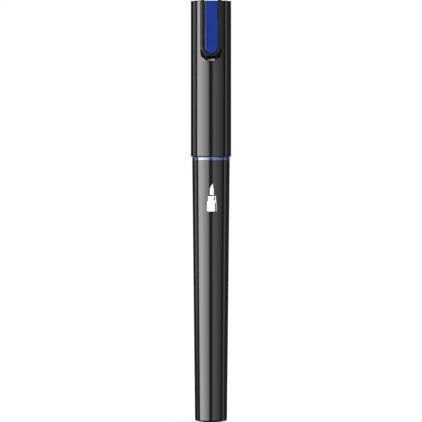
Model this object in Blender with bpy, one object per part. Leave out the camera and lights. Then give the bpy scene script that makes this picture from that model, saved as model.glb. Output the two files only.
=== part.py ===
"""Capped acrylic paint marker with a pump valve, a brush nib and a sprung pocket clip.

Metres, +Z up. The marker stands on its tail at the origin, capped end up, clip facing -Y.
"""

import math

import bmesh
import bpy
from mathutils import Matrix, Vector

MM = 0.001

# Clearances
SEAT_GAP = 0.08 * MM  # between faces that bear on each other
PRESS_GAP = 0.1 * MM  # radial, between pieces pressed or snapped together
RUN_GAP = 0.15 * MM  # radial, between pieces that slide
HINGE_GAP = 0.15 * MM  # between the clip arm's root and the crown

# Barrel
BARREL_LENGTH = 86.6 * MM
BARREL_WALL = 1.03 * MM
BARREL_MOUTH_WALL = 0.965 * MM
BARREL_TAPER = 0.935 * MM  # loss of radius from mouth to tail
BARREL_TAIL_ROUND = 0.33 * MM

# Tail plug
TAIL_FLAT_RADIUS = 2.0 * MM
TAIL_CONE_HEIGHT = 0.53 * MM
TAIL_RIM_HEIGHT = 0.16 * MM
TAIL_RIM_INSET = 0.25 * MM
TAIL_FLOOR = 1.6 * MM
TAIL_SKIRT_LENGTH = 7.0 * MM
TAIL_SKIRT_WALL = 0.9 * MM

# Mixing ball
BALL_RADIUS = 2.5 * MM
BALL_REST_GAP = 0.3 * MM

# Pump valve
VALVE_RADIUS = 3.85 * MM
SEAT_THICKNESS = 2.6 * MM
SEAT_LIP_HEIGHT = 0.4 * MM
SEAT_LIP_WIDTH = 0.5 * MM
STEM_RADIUS = 1.1 * MM
STEM_FLOW_GAP = 0.5 * MM
HEAD_RADIUS = 2.6 * MM
HEAD_THICKNESS = 1.5 * MM
SEAL_THICKNESS = 0.9 * MM
SPRING_LENGTH = 7.3 * MM
SPRING_TURNS = 7
SPRING_WIRE_RADIUS = 0.22 * MM
SPRING_POST_RADIUS = 0.9 * MM
SPRING_POST_LENGTH = 3.5 * MM
SPRING_POST_GAP = 0.3 * MM
CAGE_WALL = 0.8 * MM
CAGE_FLOOR = 1.2 * MM
CAGE_PORT_RADIUS = 1.2 * MM
CAGE_LIP_WIDTH = 0.35 * MM
CAGE_LIP_LENGTH = 2.0 * MM

# Front section
SECTION_WALL = 1.25 * MM
GRIP_LENGTH = 15.5 * MM
GRIP_ROUND = 0.15 * MM
RING_HOLD = 0.2 * MM  # how far the grip overlaps the collar ring
SNAP_BEAD_HEIGHT = 0.2 * MM
SNAP_BEAD_RISE = 4.0 * MM
SNAP_BEAD_LENGTH = 1.2 * MM
VALVE_LEDGE_RISE = 2.3 * MM
NIB_CHAMBER_LENGTH = 9.0 * MM
NOSE_CONE_LENGTH = 1.0 * MM
NOSE_LENGTH = 6.1 * MM
NOSE_WALL = 1.75 * MM
NOSE_ROUND = 0.5 * MM

# Collar ring
RING_HEIGHT = 1.02 * MM
RING_INSET = 0.015 * MM
RING_ROUND = 0.3 * MM

# Nib and its holder
HOLDER_RADIUS = 2.6 * MM
HOLDER_REACH = 1.0 * MM
HOLDER_CHAMFER = 0.35 * MM
HOLDER_FLANGE_WIDTH = 0.5 * MM
HOLDER_FLANGE_THICKNESS = 1.3 * MM
NIB_SHANK_RADIUS = 1.8 * MM
NIB_BELLY = 0.22 * MM  # how far the brush swells past its shank
NIB_TIP_RADIUS = 0.16 * MM
NIB_REACH = 11.0 * MM
NIB_BEND = 0.7 * MM  # how far the tip leans to +X
NIB_BELLY_SHARE = 0.6  # part of the brush's length that swells
NIB_POINT_POWER = 2.4  # the higher, the later the brush narrows to its point

# Cap
CAP_CLEARANCE = 0.16 * MM
CAP_WALL = 0.85 * MM
CAP_MOUTH_ROUND = 0.3 * MM
CAP_TOP_ROUND = 0.33 * MM
CAP_MOUTH_CHAMFER = 0.25 * MM
RECESS_DEPTH = 1.41 * MM
RECESS_WALL = 0.9 * MM
RECESS_SIDE = 0.295 * MM
RECESS_RISE = 3.44 * MM
RECESS_LENGTH = 20.16 * MM
RAMP_LENGTH = 2.53 * MM

# Inner cap
LIP_CLEARANCE = 0.15 * MM
LIP_LENGTH = 5.4 * MM
INNER_CAP_WALL = 0.6 * MM
NOSE_HEADROOM = 2.0 * MM
INNER_FLANGE_THICKNESS = 3.0 * MM
TIP_HEADROOM = 7.5 * MM

# Crown
CROWN_RIM = 0.81 * MM
CROWN_THICKNESS = 1.75 * MM
CROWN_SKIRT_WALL = 1.0 * MM
DOME_LIFT = 0.12 * MM
DOME_RISE = 0.14 * MM
RAIL_RISE = 0.63 * MM
RAIL_END_INSET = 0.25 * MM  # from the crown's edge to the rails' back ends
STRIP_BED_DEPTH = 0.7 * MM
STRIP_RISE = 0.05 * MM  # from the cap's top edge up to the strip's top

# Clip
CLIP_WIDTH = 6.87 * MM
CLIP_THICKNESS = 1.1 * MM
CLIP_POCKET_GAP = 0.9 * MM
CLIP_TOE_RISE = 1.53 * MM
CLIP_TOP_RISE = 0.7 * MM
CLIP_EDGE_BEVEL = 0.16 * MM
RAIL_WIDTH = 1.18 * MM
INSERT_GAP = 0.09 * MM
INSERT_BED_DEPTH = 0.7 * MM
INSERT_INSET = 0.06 * MM
INSERT_RISE = 0.09 * MM  # from the cap's top edge up to the insert's top
INSERT_EDGE_BEVEL = 0.25 * MM
NUB_RADIUS = 0.45 * MM
NUB_GAP = 0.25 * MM  # from the nub to the recess's floor
NUB_LENGTH = 3.6 * MM
HINGE_DROP = 0.1 * MM  # from the cap's top edge down to the hinge line

# Fineness of round shapes
OUTER_SEGMENTS = 64
INNER_SEGMENTS = 40
SMALL_SEGMENTS = 24
BALL_RINGS = 14
CORNER_STEPS = 3
ARC_STEPS = 16
CURL_POINTS = 10
NIB_RINGS = 8
SHARP_ANGLE = math.radians(35)
BEVEL_ANGLE = math.radians(60)

# Radii from the valve outwards
valve_bore = VALVE_RADIUS + PRESS_GAP
plug_radius = valve_bore + SECTION_WALL
mouth_bore = plug_radius + PRESS_GAP
barrel_mouth_radius = mouth_bore + BARREL_MOUTH_WALL
barrel_tail_radius = barrel_mouth_radius - BARREL_TAPER
tail_bore = barrel_tail_radius - BARREL_WALL
ring_radius = barrel_mouth_radius - RING_INSET
grip_radius = mouth_bore + RING_HOLD
cap_bore = grip_radius + SNAP_BEAD_HEIGHT + CAP_CLEARANCE
cap_radius = cap_bore + CAP_WALL
recess_floor = cap_radius - RECESS_DEPTH
upper_bore = recess_floor - RECESS_WALL
nose_bore = HOLDER_RADIUS + RUN_GAP
nose_radius = nose_bore + NOSE_WALL
holder_flange_radius = HOLDER_RADIUS + HOLDER_FLANGE_WIDTH
nib_chamber_radius = holder_flange_radius + RUN_GAP
seat_hole = STEM_RADIUS + STEM_FLOW_GAP
cage_bore = VALVE_RADIUS - CAGE_WALL
spring_radius = SPRING_POST_RADIUS + SPRING_POST_GAP + SPRING_WIRE_RADIUS

# Heights from the tail upwards
tail_rim_top = TAIL_CONE_HEIGHT + TAIL_RIM_HEIGHT
barrel_bottom = tail_rim_top + SEAT_GAP
barrel_top = barrel_bottom + BARREL_LENGTH
ring_bottom = barrel_top + SEAT_GAP
ring_top = ring_bottom + RING_HEIGHT
grip_bottom = ring_top + SEAT_GAP
grip_top = grip_bottom + GRIP_LENGTH
nose_bottom = grip_top + NOSE_CONE_LENGTH
nose_top = nose_bottom + NOSE_LENGTH

# Heights of the valve, downwards from the ledge that it bears on
valve_ledge = grip_bottom + VALVE_LEDGE_RISE
seat_top = valve_ledge - SEAT_GAP
seat_bottom = seat_top - SEAT_THICKNESS
seal_top = seat_bottom - SEAT_LIP_HEIGHT - SEAT_GAP
seal_bottom = seal_top - SEAL_THICKNESS
head_top = seal_bottom - SEAT_GAP
head_bottom = head_top - HEAD_THICKNESS
spring_top = head_bottom - SEAT_GAP
spring_bottom = spring_top - SPRING_LENGTH
cage_floor_top = spring_bottom - SEAT_GAP
cage_bottom = cage_floor_top - CAGE_FLOOR
plug_bottom = cage_bottom - SEAT_GAP - CAGE_LIP_LENGTH
neck_step = plug_bottom - SEAT_GAP

# Heights of the nib and its holder
nib_ledge = valve_ledge + NIB_CHAMBER_LENGTH
holder_flange_top = nib_ledge - RUN_GAP
holder_bottom = holder_flange_top - HOLDER_FLANGE_THICKNESS
holder_top = nose_top + HOLDER_REACH
nib_tip = holder_top + NIB_REACH
stem_top = holder_bottom - SEAT_GAP

# Heights of the cap
cap_mouth = ring_top + SEAT_GAP
lip_bottom = nose_top - LIP_LENGTH
inner_flange_bottom = nose_top + NOSE_HEADROOM + INNER_CAP_WALL
inner_flange_top = inner_flange_bottom + INNER_FLANGE_THICKNESS
cap_ledge = inner_flange_top + SEAT_GAP
inner_ceiling = nib_tip + TIP_HEADROOM
inner_cap_top = inner_ceiling + INNER_CAP_WALL
recess_bottom = cap_ledge + RECESS_RISE
cap_top = recess_bottom + RECESS_LENGTH
crown_bottom = cap_top - CROWN_THICKNESS
dome_edge = cap_top + DOME_LIFT
strip_top = cap_top + STRIP_RISE

# The clip
clip_half = CLIP_WIDTH / 2
bed_half = clip_half - RAIL_WIDTH
insert_half = bed_half - INSERT_GAP
clip_back = -(recess_floor + CLIP_POCKET_GAP)
clip_front = clip_back - CLIP_THICKNESS
clip_bottom = recess_bottom + CLIP_TOE_RISE
clip_arc_height = clip_bottom + clip_half
clip_top = cap_top + CLIP_TOP_RISE
hinge_point = Vector((0, clip_back, cap_top - HINGE_DROP))

# Crown radii and the sphere that its dome is cut from
crown_well = cap_radius - CROWN_RIM
crown_radius = crown_well - PRESS_GAP
dome_sphere = (crown_radius**2 + DOME_RISE**2) / (2 * DOME_RISE)
dome_reach = crown_radius + CLIP_THICKNESS + RECESS_DEPTH


def clear_scene():
    for item in list(bpy.data.objects):
        bpy.data.objects.remove(item, do_unlink=True)


def material(name, colour, roughness, metallic=0.0):
    made = bpy.data.materials.new(name)
    made.use_nodes = True
    shader = made.node_tree.nodes["Principled BSDF"]
    shader.inputs["Base Color"].default_value = (*colour, 1.0)
    shader.inputs["Roughness"].default_value = roughness
    shader.inputs["Metallic"].default_value = metallic
    return made


def add_object(name, mesh, finish=None):
    made = bpy.data.objects.new(name, mesh)
    bpy.context.scene.collection.objects.link(made)
    if finish is not None:
        mesh.materials.append(finish)
    return made


def finish_mesh(name, shape):
    bmesh.ops.recalc_face_normals(shape, faces=shape.faces)
    mesh = bpy.data.meshes.new(name)
    shape.to_mesh(mesh)
    shape.free()
    mesh.shade_smooth()
    mesh.set_sharp_from_angle(angle=SHARP_ANGLE)
    return mesh


def arc_corner(before, corner, after, radius):
    """Points of the arc that rounds a corner of an outline."""
    here = Vector(corner)
    back = (Vector(before) - here).normalized()
    ahead = (Vector(after) - here).normalized()
    half = back.angle(ahead) / 2
    reach = radius / math.tan(half)
    centre = here + (back + ahead).normalized() * (radius / math.sin(half))
    start = here + back * reach - centre
    end = here + ahead * reach - centre
    swing = start.angle(end)
    points = []
    for step in range(CORNER_STEPS + 1):
        share = step / CORNER_STEPS
        mixed = start * math.sin((1 - share) * swing) + end * math.sin(share * swing)
        points.append(tuple(centre + mixed / math.sin(swing)))
    return points


def rounded(outline):
    """An outline of (x, y) or (x, y, corner radius) with its corners rounded."""
    flat = [point[:2] for point in outline]
    points = []
    for index, point in enumerate(outline):
        if len(point) == 2:
            points.append(point)
            continue
        before = flat[index - 1]
        after = flat[(index + 1) % len(flat)]
        points.extend(arc_corner(before, flat[index], after, point[2]))
    return points


def turned_mesh(name, outline, segments):
    """A closed (radius, height) outline spun about Z."""
    shape = bmesh.new()
    verts = [shape.verts.new((radius, 0, height)) for radius, height in rounded(outline)]
    edges = [shape.edges.new((verts[index - 1], verts[index])) for index in range(len(verts))]
    bmesh.ops.spin(
        shape,
        geom=verts + edges,
        axis=(0, 0, 1),
        angle=math.tau,
        steps=segments,
        use_merge=True,
    )
    bmesh.ops.remove_doubles(shape, verts=shape.verts, dist=1e-7)
    bmesh.ops.dissolve_degenerate(shape, edges=shape.edges, dist=1e-8)
    return finish_mesh(name, shape)


def turned(name, outline, finish, segments=INNER_SEGMENTS):
    return add_object(name, turned_mesh(name, outline, segments), finish)


def prism_mesh(name, corners, depth):
    """A flat outline of 3-D corners, extruded by a depth vector."""
    shape = bmesh.new()
    face = shape.faces.new([shape.verts.new(corner) for corner in corners])
    made = bmesh.ops.extrude_face_region(shape, geom=[face])
    moved = [item for item in made["geom"] if isinstance(item, bmesh.types.BMVert)]
    bmesh.ops.translate(shape, verts=moved, vec=depth)
    return finish_mesh(name, shape)


def tongue_outline(half, arc_height, end_height):
    """A strip with a round lower end: (across, up) points, with the straight end at end_height."""
    points = [(half, end_height), (half, arc_height)]
    for step in range(1, ARC_STEPS):
        angle = math.pi * step / ARC_STEPS
        points.append((half * math.cos(angle), arc_height - half * math.sin(angle)))
    return points + [(-half, arc_height), (-half, end_height)]


def front_tongue(name, half, arc_height, end_height, near, far, finish=None):
    """A tongue that hangs in the XZ plane, between two Y values."""
    corners = [(x, near, z) for x, z in tongue_outline(half, arc_height, end_height)]
    return add_object(name, prism_mesh(name, corners, (0, far - near, 0)), finish)


def crown_band(name, half, front, reach, low, high, finish=None):
    """A band across the crown, from the front to a circle about the axis at its back."""
    turn = math.asin(half / reach)
    corners = [(half, front, low)]
    for step in range(ARC_STEPS + 1):
        angle = turn * (1 - 2 * step / ARC_STEPS)
        corners.append((reach * math.sin(angle), reach * math.cos(angle), low))
    corners.append((-half, front, low))
    return add_object(name, prism_mesh(name, corners, (0, 0, high - low)), finish)


def tool(item):
    item.hide_render = True
    item.display_type = "WIRE"
    return item


def combine(target, other, operation):
    step = target.modifiers.new(other.name, "BOOLEAN")
    step.operation = operation
    step.solver = "EXACT"
    step.object = tool(other)


def bevel_edges(item, width, segments):
    step = item.modifiers.new("edges", "BEVEL")
    step.width = width
    step.segments = segments
    step.limit_method = "ANGLE"
    step.angle_limit = BEVEL_ANGLE


def dome_height(radius, lift):
    drop = dome_sphere - math.sqrt(dome_sphere**2 - radius**2)
    return dome_edge + DOME_RISE + lift - drop


def dome_points(reach, lift):
    """The crown's dome from its edge to the axis, raised by a lift."""
    steps = 2 * CORNER_STEPS
    radii = [reach * (1 - step / steps) for step in range(steps + 1)]
    return [(radius, dome_height(radius, lift)) for radius in radii]


def dome_tool(name, lift):
    """A wide slab under the raised dome, which trims the rails' tops to the dome's curve."""
    outline = [(0, crown_bottom), (dome_reach, crown_bottom)] + dome_points(dome_reach, lift)
    return add_object(name, turned_mesh(name, outline, OUTER_SEGMENTS))


def barrel_outer(height):
    share = (height - barrel_bottom) / BARREL_LENGTH
    return barrel_tail_radius + BARREL_TAPER * share


def build_barrel(finish):
    bore_at_step = barrel_outer(neck_step) - BARREL_WALL
    outline = [
        (barrel_mouth_radius, barrel_top),
        (barrel_tail_radius, barrel_bottom, BARREL_TAIL_ROUND),
        (tail_bore, barrel_bottom),
        (bore_at_step, neck_step),
        (mouth_bore, neck_step),
        (mouth_bore, barrel_top),
    ]
    return turned("barrel", outline, finish, OUTER_SEGMENTS)


def build_tail_plug(finish):
    skirt_radius = tail_bore - PRESS_GAP
    rim_radius = barrel_tail_radius - TAIL_RIM_INSET
    skirt_top = tail_rim_top + TAIL_SKIRT_LENGTH
    outline = [
        (0, 0),
        (TAIL_FLAT_RADIUS, 0),
        (rim_radius, TAIL_CONE_HEIGHT),
        (rim_radius, tail_rim_top),
        (skirt_radius, tail_rim_top),
        (skirt_radius, skirt_top),
        (skirt_radius - TAIL_SKIRT_WALL, skirt_top),
        (skirt_radius - TAIL_SKIRT_WALL, TAIL_FLOOR),
        (0, TAIL_FLOOR),
    ]
    return turned("tail_plug", outline, finish, OUTER_SEGMENTS)


def build_mixing_ball(finish):
    shape = bmesh.new()
    bmesh.ops.create_uvsphere(
        shape,
        u_segments=SMALL_SEGMENTS,
        v_segments=BALL_RINGS,
        radius=BALL_RADIUS,
    )
    ball = add_object("mixing_ball", finish_mesh("mixing_ball", shape), finish)
    ball.location = (0, 0, TAIL_FLOOR + BALL_REST_GAP + BALL_RADIUS)
    return ball


def build_collar_ring(finish):
    outline = [
        (ring_radius, ring_top, RING_ROUND),
        (ring_radius, ring_bottom),
        (mouth_bore, ring_bottom),
        (mouth_bore, ring_top),
    ]
    return turned("collar_ring", outline, finish, OUTER_SEGMENTS)


def build_front_section(finish):
    bead_middle = grip_bottom + SNAP_BEAD_RISE
    bead_half = SNAP_BEAD_LENGTH / 2
    outline = [
        (nose_bore, nose_top),
        (nose_radius, nose_top, NOSE_ROUND),
        (nose_radius, nose_bottom),
        (grip_radius, grip_top),
        (grip_radius, bead_middle + bead_half),
        (grip_radius + SNAP_BEAD_HEIGHT, bead_middle),
        (grip_radius, bead_middle - bead_half),
        (grip_radius, grip_bottom, GRIP_ROUND),
        (plug_radius, grip_bottom),
        (plug_radius, plug_bottom),
        (valve_bore - CAGE_LIP_WIDTH, plug_bottom),
        (valve_bore - CAGE_LIP_WIDTH, cage_bottom - SEAT_GAP),
        (valve_bore, cage_bottom - SEAT_GAP),
        (valve_bore, valve_ledge),
        (nib_chamber_radius, valve_ledge),
        (nib_chamber_radius, nib_ledge),
        (nose_bore, nib_ledge),
    ]
    return turned("front_section", outline, finish)


def build_valve_seat(finish):
    lip_inner = seat_hole + SEAT_LIP_WIDTH / 2
    outline = [
        (VALVE_RADIUS, seat_top),
        (VALVE_RADIUS, seat_bottom),
        (lip_inner + SEAT_LIP_WIDTH, seat_bottom),
        (lip_inner + SEAT_LIP_WIDTH / 2, seat_bottom - SEAT_LIP_HEIGHT),
        (lip_inner, seat_bottom),
        (seat_hole, seat_bottom),
        (seat_hole, seat_top),
    ]
    return turned("valve_seat", outline, finish)


def build_plunger_seal(finish):
    outline = [
        (HEAD_RADIUS, seal_top),
        (HEAD_RADIUS, seal_bottom),
        (STEM_RADIUS + PRESS_GAP, seal_bottom),
        (STEM_RADIUS + PRESS_GAP, seal_top),
    ]
    return turned("plunger_seal", outline, finish)


def build_valve_plunger(finish):
    outline = [
        (0, stem_top),
        (STEM_RADIUS, stem_top),
        (STEM_RADIUS, head_top),
        (HEAD_RADIUS, head_top),
        (HEAD_RADIUS, head_bottom),
        (SPRING_POST_RADIUS, head_bottom),
        (SPRING_POST_RADIUS, head_bottom - SPRING_POST_LENGTH),
        (0, head_bottom - SPRING_POST_LENGTH),
    ]
    return turned("valve_plunger", outline, finish)


def spring_points():
    """Points along the coil, as a helix between its two end faces."""
    low = spring_bottom + SPRING_WIRE_RADIUS
    rise = SPRING_LENGTH - 2 * SPRING_WIRE_RADIUS
    count = SPRING_TURNS * CURL_POINTS
    points = []
    for index in range(count + 1):
        angle = math.tau * index / CURL_POINTS
        height = low + rise * index / count
        points.append(Vector((spring_radius * math.cos(angle), spring_radius * math.sin(angle), height)))
    return points


def least_coil_gap(points):
    """The smallest clear distance between one curl of the spring and another."""
    apart = CURL_POINTS // 2
    gaps = []
    for index, point in enumerate(points):
        for other in points[index + apart :]:
            gaps.append((point - other).length - 2 * SPRING_WIRE_RADIUS)
    return min(gaps)


def build_valve_spring(finish):
    points = spring_points()
    print(f"valve_spring least gap to itself: {least_coil_gap(points) / MM:.2f} mm")
    curve = bpy.data.curves.new("valve_spring", "CURVE")
    curve.dimensions = "3D"
    curve.bevel_depth = SPRING_WIRE_RADIUS
    curve.bevel_resolution = 1
    curve.use_fill_caps = True
    wire = curve.splines.new("POLY")
    wire.points.add(len(points) - 1)
    for place, point in zip(wire.points, points):
        place.co = (*point, 1)
    return add_object("valve_spring", curve, finish)


def build_valve_cage(finish):
    cage_top = seat_bottom - SEAT_GAP
    outline = [
        (VALVE_RADIUS, cage_top),
        (VALVE_RADIUS, cage_bottom),
        (CAGE_PORT_RADIUS, cage_bottom),
        (CAGE_PORT_RADIUS, cage_floor_top),
        (cage_bore, cage_floor_top),
        (cage_bore, cage_top),
    ]
    return turned("valve_cage", outline, finish)


def build_nib_holder(finish):
    holder_bore = NIB_SHANK_RADIUS + PRESS_GAP
    outline = [
        (holder_bore, holder_top),
        (HOLDER_RADIUS - HOLDER_CHAMFER, holder_top),
        (HOLDER_RADIUS, holder_top - HOLDER_CHAMFER),
        (HOLDER_RADIUS, holder_flange_top),
        (holder_flange_radius, holder_flange_top),
        (holder_flange_radius, holder_bottom),
        (holder_bore, holder_bottom),
    ]
    return turned("nib_holder", outline, finish)


def nib_radius(share):
    """The brush's radius from its root (0) to its tip (1): a soft belly, then a point."""
    full = NIB_SHANK_RADIUS + NIB_BELLY * math.sin(math.pi * min(share / NIB_BELLY_SHARE, 1))
    return NIB_TIP_RADIUS + (full - NIB_TIP_RADIUS) * (1 - share**NIB_POINT_POWER)


def build_brush_nib(finish):
    shape = bmesh.new()
    sections = [(holder_bottom, NIB_SHANK_RADIUS, 0)]
    for step in range(NIB_RINGS + 1):
        share = step / NIB_RINGS
        height = holder_top + SEAT_GAP + (NIB_REACH - SEAT_GAP) * share
        sections.append((height, nib_radius(share), NIB_BEND * share**2))
    rings = []
    for height, radius, lean in sections:
        place = Matrix.Translation((lean, 0, height))
        made = bmesh.ops.create_circle(shape, segments=SMALL_SEGMENTS, radius=radius, matrix=place)
        rings.append(made["verts"])
    for low, high in zip(rings, rings[1:]):
        for index in range(len(low)):
            shape.faces.new((low[index - 1], low[index], high[index], high[index - 1]))
    shape.faces.new(rings[0])
    shape.faces.new(rings[-1])
    return add_object("brush_nib", finish_mesh("brush_nib", shape), finish)


def build_inner_cap(finish):
    lip_bore = nose_radius + LIP_CLEARANCE
    tube_radius = upper_bore - PRESS_GAP
    tube_bore = tube_radius - INNER_CAP_WALL
    cone_bottom = nose_top + NOSE_HEADROOM
    outline = [
        (0, inner_cap_top),
        (tube_radius, inner_cap_top, INNER_CAP_WALL),
        (tube_radius, inner_flange_top),
        (cap_bore - PRESS_GAP, inner_flange_top),
        (cap_bore - PRESS_GAP, inner_flange_bottom),
        (lip_bore + INNER_CAP_WALL, inner_flange_bottom),
        (lip_bore + INNER_CAP_WALL, lip_bottom),
        (lip_bore, lip_bottom),
        (lip_bore, cone_bottom),
        (tube_bore, inner_flange_top),
        (tube_bore, inner_ceiling),
        (0, inner_ceiling),
    ]
    return turned("inner_cap", outline, finish)


def recess_cutter():
    """The flat pocket behind the clip, with a ramp at its lower end."""
    outside = cap_radius + RECESS_DEPTH
    slope = RAMP_LENGTH / RECESS_DEPTH
    half = clip_half + RECESS_SIDE
    above = cap_top + CROWN_THICKNESS
    corners = [
        (-half, -outside, recess_bottom - slope * (outside - cap_radius)),
        (-half, -recess_floor, recess_bottom + RAMP_LENGTH),
        (-half, -recess_floor, above),
        (-half, -outside, above),
    ]
    return add_object("recess_cutter", prism_mesh("recess_cutter", corners, (2 * half, 0, 0)))


def build_cap_shell(finish):
    outline = [
        (cap_radius, cap_top, CAP_TOP_ROUND),
        (cap_radius, cap_mouth, CAP_MOUTH_ROUND),
        (cap_bore + CAP_MOUTH_CHAMFER, cap_mouth),
        (cap_bore, cap_mouth + CAP_MOUTH_CHAMFER),
        (cap_bore, cap_ledge),
        (upper_bore, cap_ledge),
        (upper_bore, crown_bottom - SEAT_GAP),
        (crown_well, crown_bottom - SEAT_GAP),
        (crown_well, cap_top),
    ]
    shell = turned("cap_shell", outline, finish, OUTER_SEGMENTS)
    combine(shell, recess_cutter(), "DIFFERENCE")
    return shell


def root_block(front):
    """The block in the recess's open top that the clip arm's root bears on."""
    half = clip_half - RECESS_SIDE
    back = -(recess_floor + SEAT_GAP)
    corners = [
        (-half, front, crown_bottom),
        (half, front, crown_bottom),
        (half, back, crown_bottom),
        (-half, back, crown_bottom),
    ]
    height = CROWN_THICKNESS + DOME_LIFT + DOME_RISE
    return add_object("root_block", prism_mesh("root_block", corners, (0, 0, height)))


def build_crown(finish):
    skirt_radius = upper_bore - PRESS_GAP
    skirt_bore = skirt_radius - CROWN_SKIRT_WALL
    skirt_bottom = inner_cap_top + SEAT_GAP
    outline = dome_points(crown_radius, 0) + [
        (0, crown_bottom),
        (skirt_bore, crown_bottom),
        (skirt_bore, skirt_bottom),
        (skirt_radius, skirt_bottom),
        (skirt_radius, crown_bottom),
        (crown_radius, crown_bottom),
    ]
    crown = turned("crown", outline, finish, OUTER_SEGMENTS)
    strap_front = clip_back + HINGE_GAP
    high = dome_edge + DOME_RISE + CLIP_THICKNESS
    rail_end = crown_radius - RAIL_END_INSET
    strap = crown_band("crown_strap", clip_half, strap_front, rail_end, cap_top + SEAT_GAP, high)
    combine(strap, root_block(strap_front + SEAT_GAP), "UNION")
    combine(strap, dome_tool("strap_trim", RAIL_RISE), "INTERSECT")
    combine(crown, strap, "UNION")
    bed = cap_top - STRIP_BED_DEPTH
    outside = crown_radius + CROWN_RIM
    groove = crown_band("strip_groove", bed_half, strap_front - CLIP_THICKNESS, outside, bed, high)
    combine(crown, groove, "DIFFERENCE")
    return crown


def build_crown_insert(finish):
    low = cap_top - STRIP_BED_DEPTH + SEAT_GAP
    front = clip_back + HINGE_GAP
    return crown_band("crown_insert", insert_half, front, crown_radius, low, strip_top, finish)


def build_clip(finish):
    clip = front_tongue("clip", clip_half, clip_arc_height, clip_top, clip_front, clip_back, finish)
    bevel_edges(clip, CLIP_EDGE_BEVEL, 2)
    bed = clip_front + INSERT_BED_DEPTH
    outside = clip_front - CLIP_THICKNESS
    above = clip_top + CLIP_THICKNESS
    groove = front_tongue("clip_groove", bed_half, clip_arc_height, above, outside, bed)
    combine(clip, groove, "DIFFERENCE")
    notch_corners = [
        (-bed_half, outside, strip_top),
        (bed_half, outside, strip_top),
        (bed_half, outside, above),
        (-bed_half, outside, above),
    ]
    notch = add_object("clip_notch", prism_mesh("clip_notch", notch_corners, (0, 3 * CLIP_THICKNESS, 0)))
    combine(clip, notch, "DIFFERENCE")
    shape = bmesh.new()
    nub_middle = Vector((0, -(recess_floor + NUB_GAP + NUB_RADIUS), clip_arc_height))
    place = Matrix.Translation(nub_middle) @ Matrix.Rotation(math.pi / 2, 4, "Y")
    bmesh.ops.create_cone(
        shape,
        cap_ends=True,
        segments=SMALL_SEGMENTS,
        radius1=NUB_RADIUS,
        radius2=NUB_RADIUS,
        depth=NUB_LENGTH,
        matrix=place,
    )
    nub = add_object("clip_nub", finish_mesh("clip_nub", shape))
    combine(clip, nub, "UNION")
    return clip


def build_clip_insert(finish):
    near = clip_front + INSERT_INSET
    far = clip_front + INSERT_BED_DEPTH - SEAT_GAP
    high = cap_top + INSERT_RISE
    insert = front_tongue("clip_insert", insert_half, clip_arc_height, high, near, far, finish)
    bevel_edges(insert, INSERT_EDGE_BEVEL, 3)
    return insert


def add_frame(name, point, parent=None):
    """An empty on a joint's axis, which carries the pieces that move together."""
    frame = bpy.data.objects.new(name, None)
    bpy.context.scene.collection.objects.link(frame)
    frame.location = point
    if parent is not None:
        hold(frame, parent)
    return frame


def hold(item, frame):
    bpy.context.view_layer.update()
    item.parent = frame
    item.matrix_parent_inverse = frame.matrix_world.inverted()


def main():
    clear_scene()
    black = material("black_plastic", (0.006, 0.006, 0.007), 0.2)
    dark = material("section_plastic", (0.012, 0.012, 0.013), 0.35)
    blue = material("blue_plastic", (0.0144, 0.0423, 0.2832), 0.25)
    natural = material("natural_plastic", (0.75, 0.75, 0.72), 0.45)
    fibre = material("stained_fibre", (0.01, 0.035, 0.26), 0.85)
    steel = material("steel", (0.6, 0.6, 0.6), 0.25, 1.0)
    rubber = material("rubber", (0.03, 0.03, 0.03), 0.8)

    body = add_frame("barrel_frame", (0, 0, 0))
    cap = add_frame("cap_slide", (0, 0, cap_mouth), body)
    clip = add_frame("clip_hinge", hinge_point, cap)
    pump = add_frame("nib_slide", (0, 0, holder_bottom), body)
    shaker = add_frame("ball_slide", (0, 0, TAIL_FLOOR), body)

    groups = {
        body: [
            build_barrel(black),
            build_tail_plug(black),
            build_collar_ring(blue),
            build_front_section(dark),
            build_valve_seat(natural),
            build_valve_cage(natural),
            build_valve_spring(steel),
        ],
        cap: [
            build_cap_shell(black),
            build_crown(black),
            build_crown_insert(blue),
            build_inner_cap(natural),
        ],
        clip: [build_clip(black), build_clip_insert(blue)],
        pump: [
            build_nib_holder(natural),
            build_brush_nib(fibre),
            build_valve_plunger(natural),
            build_plunger_seal(rubber),
        ],
        shaker: [build_mixing_ball(steel)],
    }
    for frame, pieces in groups.items():
        for piece in pieces:
            hold(piece, frame)


main()
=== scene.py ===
"""Looks of the acrylic paint marker: skins over the frame's solids, finishes, light and camera."""

import math

import bmesh
import bpy
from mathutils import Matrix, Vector


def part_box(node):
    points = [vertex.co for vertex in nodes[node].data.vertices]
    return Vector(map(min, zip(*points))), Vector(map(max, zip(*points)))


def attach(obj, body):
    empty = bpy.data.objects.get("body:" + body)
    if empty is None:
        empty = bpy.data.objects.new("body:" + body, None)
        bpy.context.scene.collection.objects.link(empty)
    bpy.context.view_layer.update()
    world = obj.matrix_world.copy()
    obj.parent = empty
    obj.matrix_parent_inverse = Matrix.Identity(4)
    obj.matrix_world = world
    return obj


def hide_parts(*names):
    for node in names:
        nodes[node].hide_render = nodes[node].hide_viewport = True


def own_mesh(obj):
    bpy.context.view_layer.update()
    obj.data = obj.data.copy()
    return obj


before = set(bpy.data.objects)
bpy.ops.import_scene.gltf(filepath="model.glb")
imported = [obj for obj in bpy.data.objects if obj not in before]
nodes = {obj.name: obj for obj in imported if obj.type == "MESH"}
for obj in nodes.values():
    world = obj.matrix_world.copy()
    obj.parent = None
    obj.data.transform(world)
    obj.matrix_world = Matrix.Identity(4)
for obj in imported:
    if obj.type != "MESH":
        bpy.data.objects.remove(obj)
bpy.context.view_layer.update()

MM = 0.001
NEAR = 0.02 * MM  # how close a point of the frame lies to a measure that it is found by
SEAT_GAP = 0.08 * MM  # between the frame's faces that bear on each other
PRESS_GAP = 0.1 * MM  # radial, between the frame's pieces that are pressed together

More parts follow.
